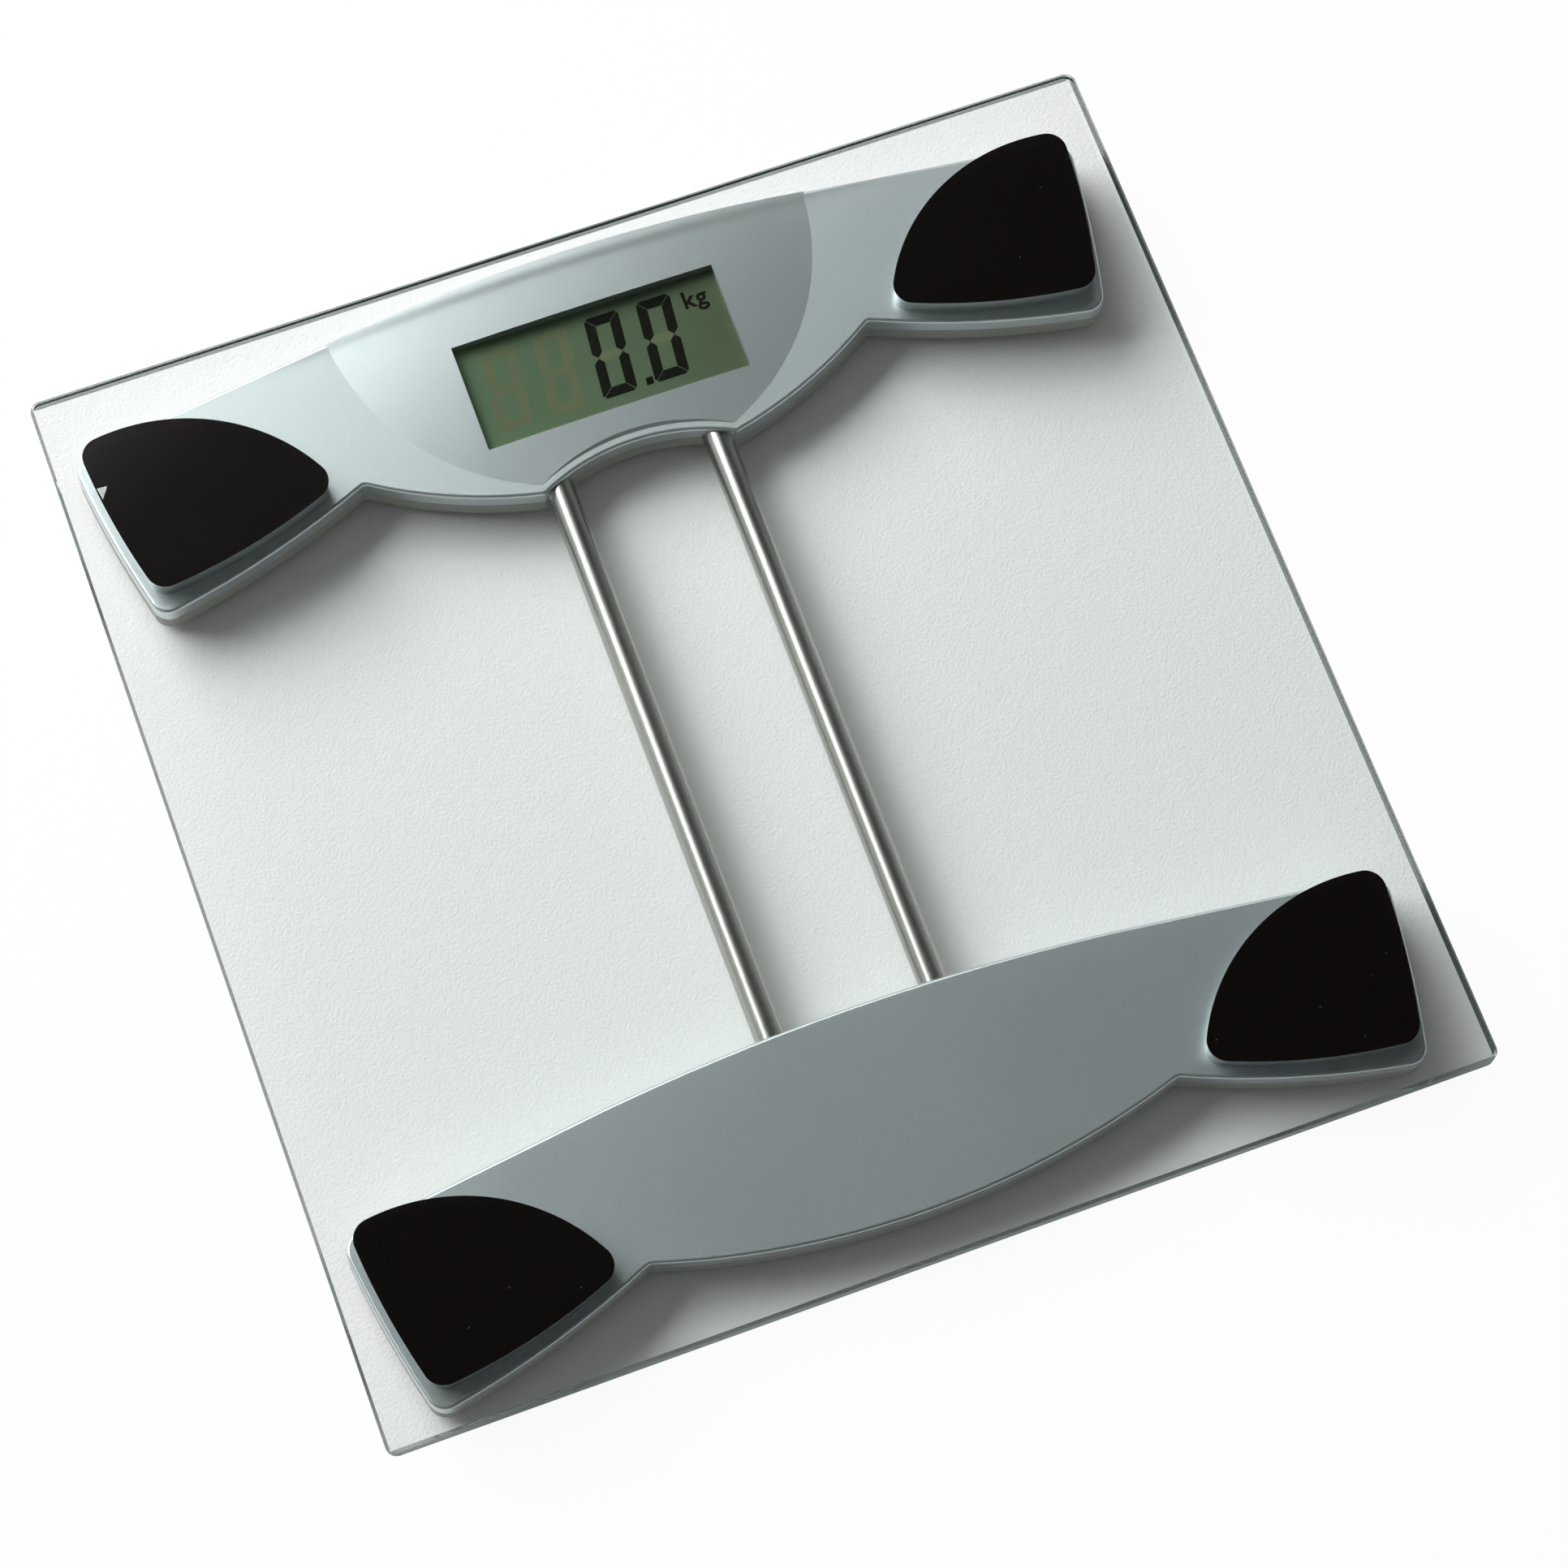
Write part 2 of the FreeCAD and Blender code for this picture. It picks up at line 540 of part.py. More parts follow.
def base(end):
    """The lower shell: floor, side walls, lip and everything that stands on the floor."""
    plan = PLANS[end]
    name = f"{end}_base"
    slab = prism(f"{name}_slab", plan, ("foot_stand", SPLIT))
    lip = ring(f"{name}_lip", plan, "-wall / 2 - lip_gap", "-wall", (FLOOR_TOP, f"{SPLIT} + lip_height"))
    islands = saddles(name, end, (FLOOR_TOP, SPLIT))
    islands += [rod(f"{name}_boss_{number}", centre, "boss_radius", (FLOOR_TOP, SPLIT))
                for number, centre in enumerate(CASE_SCREWS)]
    holes = tube_bores(name, end)
    for number, centre in enumerate(CASE_SCREWS):
        holes.append(rod(f"{name}_sink_{number}", centre, "head_radius + shank_gap", ("0", HEAD_SEAT)))
        holes.append(rod(f"{name}_shank_hole_{number}", centre, "screw_radius + shank_gap", ("0", SKY)))
    for side, sign in SIDES.items():
        centre = (f"{sign} * {CELL_HALF}", "cell_back")
        islands.append(square(f"{name}_seat_{side}", centre, f"2 * {SEAT_HALF}",
                              (FLOOR_TOP, f"{SPLIT} - cell_gap")))
        holes.append(square(f"{name}_pocket_{side}", centre, "cell_size + 2 * cell_gap",
                            (CELL_BOTTOM, SKY)))
        holes.append(square(f"{name}_well_{side}", centre, "cell_size - 2 * cell_ledge", (FLOOR_TOP, SKY)))
        holes.append(rod(f"{name}_foot_hole_{side}", centre, "foot_radius + foot_gap", ("0", SKY)))
    if end == "back":
        bay_islands, bay_holes = coin_bay(name)
        islands += bay_islands
        holes += bay_holes
        button = ("button_x", "button_y")
        holes.append(rod(f"{name}_button_hole", button, "button_radius + button_gap", ("0", SPLIT)))
        holes.append(rod(f"{name}_button_pocket", button, "button_flange + lug_room",
                         (FLANGE_BOTTOM, SPLIT)))
    room = cut(f"{name}_room", prism(f"{name}_hollow", plan, (FLOOR_TOP, SKY), "-wall"), islands)
    shell = cut(f"{name}_shell", slab, [room])
    return node(cut(name, joined(f"{name}_with_lip", [shell, lip]), holes), name, ENDS[end])


for end in ENDS:
    cover(end)
    base(end)


# Pedestals and pads ---------------------------------------------------------------------------
for end, along in ENDS.items():
    for side in SIDES:
        plan = pad_plans[side]
        name = f"pedestal_{end}_{side}"
        stem = prism(f"{name}_stem", plan, (COVER_TOP, PAD_BOTTOM), "-pad_overhang")
        flange = prism(f"{name}_flange", plan, (COVER_TOP, f"{COVER_TOP} + flange_height"),
                       "-pad_overhang / 2")
        bosses = [rod(f"{name}_boss_{number}", centre, "pedestal_boss", (COVER_TOP, PAD_BOTTOM))
                  for number, centre in enumerate(PEDESTAL_SCREWS[side])]
        hollow = cut(f"{name}_hollow", prism(f"{name}_inside", plan, (COVER_TOP, (
            f"{PAD_BOTTOM} - pedestal_roof")), "-pad_overhang - pedestal_wall"), bosses)
        pilots = [rod(f"{name}_pilot_{number}", centre, "screw_radius + thread_gap",
                      (ROOF_UNDER, f"{PEDESTAL_SCREW_TIP} + tip_gap"))
                  for number, centre in enumerate(PEDESTAL_SCREWS[side])]
        node(cut(name, joined(f"{name}_outside", [stem, flange]), [hollow] + pilots), name, along)
        node(prism(f"pad_{end}_{side}", plan, (PAD_BOTTOM, GLASS_BOTTOM)), f"pad_{end}_{side}", along)

# Tubes ----------------------------------------------------------------------------------------
TUBE_ENDS = ("-housing_pitch / 2 + tube_front_end", "housing_pitch / 2 - tube_back_end")
for side, sign in SIDES.items():
    x = f"{sign} * tube_half"
    name = f"tube_{side}"
    skin = bar(f"{name}_outside", x, "tube_radius", TUBE_ENDS, SPLIT)
    bore = bar(f"{name}_inside", x, "tube_radius - tube_wall", TUBE_ENDS, SPLIT)
    node(cut(name, skin, [bore]), name)


# Load cells, gauges and feet ------------------------------------------------------------------
def load_cell(label, x, y):
    """A square steel plate whose slot frees a tongue, with a hole for the foot's spigot."""
    cell = doc.addObject("PartDesign::Body", label)
    half = "(cell_size / 2)"
    outside = body_sketch(cell, f"{label}_plan", rectangle(half, half, "cell_round"))
    plate = pad_feature(cell, f"{label}_plate", outside, "cell_thick")
    outer, inner = "(cell_size / 2 - slot_inset)", "(cell_size / 2 - slot_inset - slot_width)"
    path = [(f"-{outer}", f"-{outer}"), (f"-{outer}", outer), (outer, outer), (outer, f"-{outer}"),
            (inner, f"-{outer}"), (inner, inner), (f"-{inner}", inner), (f"-{inner}", f"-{outer}")]
    slot = body_sketch(cell, f"{label}_slot", [(*point, None, None, 0) for point in path])
    hole = cell.newObject("Sketcher::SketchObject", f"{label}_hole")
    hole.AttachmentSupport = [(origin_plane(cell, "XY_Plane"), "")]
    hole.MapMode = "FlatFace"
    hole.addGeometry(Part.Circle(Vector(), UP, value("spigot_radius + spigot_gap")), False)
    hole.addConstraint(Sketcher.Constraint("Coincident", 0, 3, -1, 1))
    hole.addConstraint(Sketcher.Constraint("Radius", 0, value("spigot_radius + spigot_gap")))
    hole.setExpression("Constraints[1]", tied("spigot_radius + spigot_gap"))
    for number, profile in enumerate((slot, hole)):
        pocket = cell.newObject("PartDesign::Pocket", f"{label}_cut_{number}")
        pocket.Profile = profile
        pocket.Type = "ThroughAll"
        pocket.Reversed = True
        cell.Tip = pocket
    node(cell, label)
    place(cell, x, y, CELL_BOTTOM)


DISC_BOTTOM = "(sole_thick - sole_recess)"
DISC_TOP = f"({DISC_BOTTOM} + foot_disc)"
GAUGE_REACH = f"({CELL_HALF} - cell_size / 2 + slot_inset / 2)"
for end, along in ENDS.items():
    for side, sign in SIDES.items():
        x, y = f"{sign} * {CELL_HALF}", f"{along} + cell_back"
        spot = (x, y)
        load_cell(f"load_cell_{end}_{side}", x, y)
        node(block(f"gauge_{end}_{side}", (f"{sign} * {GAUGE_REACH}", f"{y} - wire_lane"),
                   ("gauge_size", "gauge_length"), (CELL_TOP, f"{CELL_TOP} + gauge_height")),
             f"gauge_{end}_{side}")
        name = f"foot_{end}_{side}"
        solid = joined(f"{name}_turned", [
            rod(f"{name}_disc", spot, "foot_radius", (DISC_BOTTOM, DISC_TOP)),
            rod(f"{name}_neck", spot, "neck_radius", (DISC_BOTTOM, CELL_BOTTOM)),
            rod(f"{name}_spigot", spot, "spigot_radius", (DISC_BOTTOM, CELL_TOP)),
        ])
        recess = rod(f"{name}_recess", spot, "sole_radius", (DISC_BOTTOM, "sole_thick"))
        node(cut(name, solid, [recess]), name)
        node(rod(f"sole_{end}_{side}", spot, "sole_radius", ("0", "sole_thick")), f"sole_{end}_{side}")

# Display and circuit board --------------------------------------------------------------------
DISPLAY = ENDS["back"]
BOARD_MIDDLE = "((board_rear - board_front) / 2)"
board = block("board_blank", ("0", BOARD_MIDDLE), (f"2 * {BOARD_HALF}", "board_front + board_rear"),
              (BOARD_BOTTOM, BOARD_TOP))
board_cuts = [rod(f"board_hole_{number}", centre, "board_screw_radius + shank_gap", (FLOOR_TOP, COVER_TOP))
              for number, centre in enumerate(BOARD_SCREWS)]
board_cuts += [block(f"board_notch_{side}", (f"{sign} * tube_half", "notch_depth / 2 - board_front"),
                     ("notch_width", "notch_depth"), (FLOOR_TOP, COVER_TOP))
               for side, sign in SIDES.items()]
node(cut("circuit_board", board, board_cuts), "circuit_board", DISPLAY)
node(block("lcd_panel", ("0", f"{DISPLAY} + window_back"), (
    "window_width + 2 * lcd_rim", "window_length + 2 * lcd_rim"), (LCD_BOTTOM, LCD_TOP)), "lcd_panel")
node(block("lcd_connector", ("0", f"{DISPLAY} + strip_back"), (
    "window_width - 2 * strip_inset", "strip_width"), (BOARD_TOP, LCD_BOTTOM)), "lcd_connector")
node(rod("processor", ("chip_x", f"{DISPLAY} + chip_y"), "chip_half",
         (f"{BOARD_BOTTOM} - chip_height", BOARD_BOTTOM)), "processor")

# Unit button ----------------------------------------------------------------------------------
BUTTON = ("button_x", f"{DISPLAY} + button_y")
SWITCH_BOTTOM = f"({BOARD_BOTTOM} - switch_height)"
node(joined("unit_button", [
    rod("button_cap", BUTTON, "button_radius", ("foot_stand - button_stand", FLANGE_TOP)),
    rod("button_rim", BUTTON, "button_flange", (FLANGE_BOTTOM, FLANGE_TOP)),
]), "unit_button")
node(rod("switch_plunger", BUTTON, "plunger_radius", (FLANGE_TOP, f"{FLANGE_TOP} + plunger_height")),
     "switch_plunger")
node(cut("unit_switch", square("switch_case", BUTTON, "switch_size", (SWITCH_BOTTOM, BOARD_BOTTOM)), [
    rod("switch_bore", BUTTON, "plunger_radius + plunger_gap",
        ("0", f"{FLANGE_TOP} + plunger_height + button_travel + tip_gap"))]), "unit_switch")

# Coin cell, door and contacts -----------------------------------------------------------------
node(rod("coin_cell", COIN, "coin_radius", (COIN_BOTTOM, COIN_TOP)), "coin_cell", f"{DISPLAY} + coin_back")
lugs = common("door_lugs", block("door_lug_bar", COIN, ("2 * bay_radius", "lug_width"), (
    f"{FLOOR_TOP} + lug_lift", LUG_TOP)), rod("door_lug_reach", COIN, "lug_reach", (FLOOR_TOP, SKY)))
node(cut("battery_door", joined("door_outside", [
    rod("door_disc", COIN, "door_radius", ("foot_stand", LUG_TOP)), lugs]), [
    rod("door_inside", COIN, "coin_radius + coin_gap + lug_room", (FLOOR_TOP, SKY)),
    block("door_coin_slot", COIN, ("coin_slot_length", "coin_slot_width"),
          ("0", "foot_stand + coin_slot_depth"))]), "battery_door", DISPLAY)

CONTACT = (COIN_TOP, f"{COIN_TOP} + contact_thick")
CONTACT_END = f"({BOARD_HALF} - contact_overlap)"
CONTACT_START = f"({COIN_HALF} + {LEG_HALF})"
CONTACT_MIDDLE = f"-({CONTACT_START} + {CONTACT_END}) / 2"
CONTACT_LENGTH = f"({CONTACT_START} - {CONTACT_END})"
node(block("contact_negative", (CONTACT_MIDDLE, f"{DISPLAY} + coin_back"), (
    CONTACT_LENGTH, "contact_width"), CONTACT), "contact_negative")
node(joined("contact_positive", [
    block("contact_arm", (CONTACT_MIDDLE, f"({COIN_REAR} + board_rear) / 2"),
          (CONTACT_LENGTH, f"board_rear - {COIN_REAR}"), CONTACT),
    block("contact_leg", (COIN[0], f"{COIN_REAR} + contact_thick / 2"), ("contact_width", "contact_thick"),
          (f"{COIN_TOP} - coin_thick / 2", COIN_TOP))]), "contact_positive", DISPLAY)

# Screws ---------------------------------------------------------------------------------------
for end, along in ENDS.items():
    screws(f"case_screws_{end}", CASE_SCREWS, HEAD_SEAT, CASE_SCREW_TIP, "screw_radius", "head_radius",
           "head_height", along)
    screws(f"pedestal_screws_{end}", PEDESTAL_SCREWS["left"] + PEDESTAL_SCREWS["right"], ROOF_UNDER,
           PEDESTAL_SCREW_TIP, "screw_radius", "head_radius", "head_height", along)
screws("board_screws", BOARD_SCREWS, BOARD_BOTTOM, BOARD_SCREW_TIP, "board_screw_radius",
       "board_screw_head", "board_screw_cap", DISPLAY)


# Wires ----------------------------------------------------------------------------------------
def wire(label, route, bend_radius):
    """A wire of six-sided section along straight runs joined by tangent arcs."""
    points = [Vector(*(value(part) for part in point)) for point in route]
    bend, radius = value(bend_radius), value("wire_radius")
    edges, start = [], points[0]
    for before, corner, after in zip(points, points[1:], points[2:]):
        back, ahead = (before - corner).normalize(), (after - corner).normalize()
        half_turn = (math.pi - back.getAngle(ahead)) / 2
        trim = bend * math.tan(half_turn)
        into, out = corner + back * trim, corner + ahead * trim
        inward = (back + ahead).normalize()
        middle = corner + inward * (bend / math.cos(half_turn) - bend)
        edges += [Part.LineSegment(start, into).toShape(), Part.Arc(into, middle, out).toShape()]
        start = out
    edges.append(Part.LineSegment(start, points[-1]).toShape())
    path = Part.Wire(edges)
    section = Part.makePolygon([points[0] + turn.multVec(UP * radius) for turn in SIXTHS])
    run = doc.addObject("Part::Feature", label)
    run.Shape = path.makePipeShell([section], True, True)
    node(run, label)


LANE = "(cell_back - wire_lane)"
GAUGE_FACE = f"({GAUGE_REACH} - gauge_size / 2)"
for side, sign in SIDES.items():
    lane = f"{ENDS['back']} + {LANE}"
    wire(f"wire_back_{side}", [
        (f"{sign} * {GAUGE_FACE}", lane, WIRE_LEVEL),
        (f"{sign} * {CONTACT_END}", lane, WIRE_LEVEL),
        (f"{sign} * {CONTACT_END}", lane, BOARD_TOP),
    ], "wire_drop")
    lane = f"{ENDS['front']} + {LANE}"
    wire(f"wire_front_{side}", [
        (f"{sign} * {GAUGE_FACE}", lane, WIRE_LEVEL),
        (f"{sign} * tube_half", lane, WIRE_LEVEL),
        (f"{sign} * tube_half", f"{lane} + wire_bend + wire_lane", WIRE_LEVEL),
        (f"{sign} * tube_half", f"{TUBE_ENDS[0]} - wire_dip_end", SPLIT),
        (f"{sign} * tube_half", f"{ENDS['back']} - board_front + notch_depth", SPLIT),
    ], "wire_bend")

# Checks and files -----------------------------------------------------------------------------
doc.recompute()
for thing in doc.Objects:
    if {"Invalid", "Error"} & set(thing.State):
        raise RuntimeError(f"{thing.Name} failed to build: {thing.State}")
os.makedirs("parts", exist_ok=True)
for thing in nodes:
    shape = thing.Shape
    if shape.isNull() or not shape.isValid() or not shape.Solids:
        raise RuntimeError(f"{thing.Label} has no sound solid")
    shape.exportStep(f"parts/{thing.Label}.step")
print(f"{len(nodes)} pieces, {sum(len(thing.Shape.Solids) for thing in nodes)} solids")
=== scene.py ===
import json
import math

import bmesh
import bpy
from mathutils import Matrix, Quaternion, Vector


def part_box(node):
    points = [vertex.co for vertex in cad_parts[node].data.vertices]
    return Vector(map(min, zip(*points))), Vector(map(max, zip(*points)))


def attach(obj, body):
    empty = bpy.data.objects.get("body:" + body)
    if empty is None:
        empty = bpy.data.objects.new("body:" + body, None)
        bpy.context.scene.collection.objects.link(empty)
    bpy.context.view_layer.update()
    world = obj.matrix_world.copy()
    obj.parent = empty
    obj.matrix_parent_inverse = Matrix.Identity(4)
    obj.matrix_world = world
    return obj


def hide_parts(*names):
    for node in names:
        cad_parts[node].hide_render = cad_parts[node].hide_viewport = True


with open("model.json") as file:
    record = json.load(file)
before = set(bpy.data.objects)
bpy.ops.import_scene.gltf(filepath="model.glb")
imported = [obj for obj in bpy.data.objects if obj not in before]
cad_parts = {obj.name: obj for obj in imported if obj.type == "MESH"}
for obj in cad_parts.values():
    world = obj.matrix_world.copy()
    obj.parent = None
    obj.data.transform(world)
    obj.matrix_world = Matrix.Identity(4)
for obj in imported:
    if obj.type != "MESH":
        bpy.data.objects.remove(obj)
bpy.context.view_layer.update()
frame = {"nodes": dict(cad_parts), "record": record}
NODES = frame["nodes"]

MM = 0.001
BODY = "scale_body"
SIDES = ("left", "right")
ENDS = ("back", "front")
CORNERS = [f"{end}_{side}" for end in ENDS for side in SIDES]


# Node trees -----------------------------------------------------------------------------------
class Wire:
    """An output socket that Python's operators can be used on."""

    def __init__(self, bench, socket):
        self.bench, self.socket = bench, socket

    def maths(self, operation, *values):
        return self.bench.node("ShaderNodeMath", {"operation": operation}, dict(enumerate(values)))

    def __add__(self, other):
        return self.maths("ADD", self, other)

    def __radd__(self, other):
        return self.maths("ADD", other, self)

    def __sub__(self, other):
        return self.maths("SUBTRACT", self, other)

    def __rsub__(self, other):
        return self.maths("SUBTRACT", other, self)

    def __mul__(self, other):
        return self.maths("MULTIPLY", self, other)

    def __rmul__(self, other):
        return self.maths("MULTIPLY", other, self)

    def __abs__(self):
        return self.maths("ABSOLUTE", self)

    def over(self, edge):
        return self.maths("GREATER_THAN", self, edge)

    def under(self, edge):
        return self.maths("LESS_THAN", self, edge)

    def larger(self, other):
        return self.maths("MAXIMUM", self, other)


class Bench:
    """A node tree being wired up."""

    def __init__(self, tree):
        self.tree = tree

    def node(self, kind, settings=None, sockets=None, out=0):
        """Add a node: its settings first, then the values or links of its sockets."""
        made = self.tree.nodes.new(kind)
        for name, setting in (settings or {}).items():
            setattr(made, name, setting)
        for name, given in (sockets or {}).items():
            socket = picked(made.inputs, name)
            if isinstance(given, Wire):
                self.tree.links.new(given.socket, socket)
            else:
                socket.default_value = given
        return Wire(self, picked(made.outputs, out)) if len(made.outputs) else made


def picked(sockets, name):
    """A socket by its number, or by its identifier or name."""
    if isinstance(name, int):
        return sockets[name]
    return next((socket for socket in sockets if socket.identifier == name), None) or sockets[name]


def shade(colour):
    """A colour with its fourth number; a single number is a grey."""
    if isinstance(colour, (int, float)):
        colour = (colour,) * 3
    return (*colour[:3], 1.0)


class Finish(Bench):
    """A surface finish: a new material whose nodes are added one by one."""

    def __init__(self, name):
        self.material = bpy.data.materials.new(name)
        self.material.use_nodes = True
        super().__init__(self.material.node_tree)
        self.tree.nodes.clear()
        self.place = self.node("ShaderNodeTexCoord", out="Object")

    def noise(self, size, detail=2.0, stretch=None, roughness=0.5):
        """Cloudy noise whose blobs are about one size across, in metres."""
        where = self.place
        if stretch is not None:
            where = self.node("ShaderNodeMapping", {}, {"Vector": where, "Scale": stretch})
        return self.node("ShaderNodeTexNoise", {}, {
            "Vector": where, "Scale": 1.0 / size, "Detail": detail, "Roughness": roughness})

    def blend(self, factor, low, high):
        """A colour between two colours."""
        first, second = (
            colour if isinstance(colour, Wire) else shade(colour) for colour in (low, high))
        return self.node("ShaderNodeMix", {"data_type": "RGBA"}, {
            "Factor_Float": factor, "A_Color": first, "B_Color": second}, "Result_Color")

    def bumps(self, height, depth, strength):
        """Bumps as deep as one depth, in metres."""
        return self.node("ShaderNodeBump", {}, {
            "Height": height, "Distance": depth, "Strength": strength})

    def surface(self, **sockets):
        """The main shader, with its sockets named in words joined by underscores."""
        named = {name.replace("_", " "): given for name, given in sockets.items()}
        return self.node("ShaderNodeBsdfPrincipled", {}, named)

    def mixed(self, factor, first, second):
        return self.node("ShaderNodeMixShader", {}, {0: factor, 1: first, 2: second})

    def done(self, shader):
        self.node("ShaderNodeOutputMaterial", {}, {"Surface": shader})
        return self.material


def screen(red, green, blue):
    """The colour whose display levels out of 255 are these."""
    return tuple((level / 255) ** 2.2 for level in (red, green, blue))


# Finishes ---------------------------------------------------------------------------------------
glass_low, glass_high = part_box("glass_platform")
GLASS_CORNER, ARRIS, PRINT_GAP = 3.0 * MM, 0.8 * MM, 0.03 * MM
GROUND_RIM = ARRIS * 1.05
GRINDING = 0.65  # how far the grinding hides the clear glass behind it
DUST_PITCH, DUST_SHARE = 6.25 * MM, 0.03
WINDOW_HALF = 38 * MM


def clear_glass(half, rim):
    """Tempered glass of half a width: clear through its faces, with ground green edges."""
    finish = Finish("clear_glass")
    x, y = (abs(finish.node("ShaderNodeSeparateXYZ", {}, {"Vector": finish.place}, axis))
            for axis in "XY")
    edge = x.larger(y).over(half - rim)
    green = finish.blend(finish.noise(0.5 * MM), (0.030, 0.095, 0.080), (0.060, 0.150, 0.125))
    ground = finish.surface(Base_Color=green, Roughness=0.35)
    smudges = finish.noise(35 * MM, detail=4.0)
    body = finish.surface(Base_Color=shade((0.990, 1.0, 0.996)), Roughness=smudges * 0.012,
                          IOR=1.52, Transmission_Weight=1.0)
    rimmed = finish.mixed(edge * GRINDING, body, ground)
    path = finish.node("ShaderNodeLightPath", out="Is Shadow Ray")
    bounced = Wire(finish, picked(path.socket.node.outputs, "Is Diffuse Ray"))
    shadow = finish.node("ShaderNodeBsdfTransparent", {}, {"Color": shade((0.980, 0.986, 0.984))})
    depth = finish.node("ShaderNodeVolumeAbsorption", {}, {
        "Color": shade((0.30, 0.86, 0.72)), "Density": 5.0})
    finish.node("ShaderNodeOutputMaterial", {}, {
        "Surface": finish.mixed(path.larger(bounced), rimmed, shadow), "Volume": depth})
    return finish.material


def flat_print(name, dark, light):
    """Flat print under glass, with a few specks of dust in it."""
    finish = Finish(name)
    dust = finish.node("ShaderNodeTexVoronoi", {"feature": "F1"}, {
        "Vector": finish.place, "Scale": 1.0 / DUST_PITCH}, "Distance")
    speck = dust.under(DUST_SHARE)
    tone = finish.blend(finish.noise(0.4 * MM), dark, light)
    return finish.done(finish.surface(
        Base_Color=finish.blend(speck, tone, 0.10), Roughness=0.25, Specular_IOR_Level=0.1))


def silver_paint():
    """Fine metallic silver paint on moulded plastic."""
    finish = Finish("silver_paint")
    flakes = finish.noise(0.30 * MM, roughness=0.7)
    drift = finish.noise(60 * MM)
    tone = finish.blend(flakes, (0.520, 0.573, 0.585), (0.750, 0.798, 0.810))
    return finish.done(finish.surface(
        Base_Color=tone, Metallic=0.85, Roughness=0.28 + 0.06 * flakes + 0.03 * drift,
        Coat_Weight=0.10, Coat_Roughness=0.30, Normal=finish.bumps(flakes, 0.02 * MM, 0.30)))


def grey_plastic():
    """Warm grey moulded plastic with a fine spark-eroded texture."""
    finish = Finish("grey_plastic")
    grain = finish.noise(0.5 * MM, detail=3.0)
    tone = finish.blend(grain, (0.30, 0.295, 0.265), (0.38, 0.37, 0.335))
    return finish.done(finish.surface(
        Base_Color=tone, Roughness=0.48 + 0.1 * grain, Specular_IOR_Level=0.3,
        Normal=finish.bumps(grain, 0.03 * MM, 0.5)))


def brushed_tube():
    """Stainless tube, brushed lengthwise."""
    finish = Finish("brushed_tube")
    streaks = finish.noise(0.30 * MM, stretch=(1.0, 0.01, 1.0))
    bands = finish.noise(1.4 * MM, stretch=(1.0, 0.02, 1.0))
    tone = finish.blend(bands, (0.42, 0.415, 0.385), (0.52, 0.515, 0.485))
    return finish.done(finish.surface(
        Base_Color=tone, Metallic=1.0, Roughness=0.20 + 0.06 * streaks + 0.04 * bands,
        Normal=finish.bumps(streaks, 0.004 * MM, 0.4)))


def pressed_steel(name, tone, roughness):
    """Bright sheet or turned steel with rolling marks."""
    finish = Finish(name)
    marks = finish.noise(0.6 * MM, detail=3.0, stretch=(0.1, 1.0, 1.0))
    colour = finish.blend(marks, tuple(0.8 * part for part in tone), tone)
    return finish.done(finish.surface(
        Base_Color=colour, Metallic=1.0, Roughness=roughness + 0.12 * marks,
        Normal=finish.bumps(marks, 0.01 * MM, 0.4)))


def moulded(name, dark, light, roughness, grain=0.5 * MM, depth=0.02 * MM):
    """A plain moulded or rubber surface with a fine grain."""
    finish = Finish(name)
    texture = finish.noise(grain, detail=3.0)
    return finish.done(finish.surface(
        Base_Color=finish.blend(texture, dark, light), Roughness=roughness + 0.1 * texture,
        Normal=finish.bumps(texture, depth, 0.5)))


def display_glass():
    """The grey-green reflector of the display under its polished front, with painted shade that
    darkens it towards its right side.
    """
    finish = Finish("display_glass")
    sideways = finish.node("ShaderNodeSeparateXYZ", {}, {"Vector": finish.place}, "X")
    # Painted shade: the reflector turns darker and more olive towards its right side, away from
    # the key light.
    painted_shade_across = finish.node("ShaderNodeMapRange", {}, {
        "Value": sideways, "From Min": -WINDOW_HALF, "From Max": WINDOW_HALF})
    cloud = finish.noise(22 * MM)
    grain = finish.noise(0.3 * MM)
    # Painted shade: lighter green on the left, darker olive on the right.
    tone = finish.blend(painted_shade_across, screen(78, 102, 76), screen(64, 74, 54))
    tone = finish.blend(cloud * 0.3, tone, screen(100, 114, 90))
    tone = finish.blend(grain * 0.2, tone, screen(110, 120, 96))
    return finish.done(finish.surface(Base_Color=tone, Roughness=0.45, Specular_IOR_Level=0.2,
                                      Coat_Weight=0.10, Coat_Roughness=0.08))


def circuit_laminate():
    """Green solder mask with the copper tracks faintly under it."""
    finish = Finish("circuit_laminate")
    tracks = finish.node("ShaderNodeTexBrick", {}, {
        "Vector": finish.place, "Scale": 120.0, "Mortar Size": 0.03}, "Fac")
    tone = finish.blend(tracks, (0.015, 0.10, 0.04), (0.04, 0.20, 0.08))
    return finish.done(finish.surface(
        Base_Color=tone, Roughness=0.35, Normal=finish.bumps(tracks, 0.03 * MM, 0.5)))


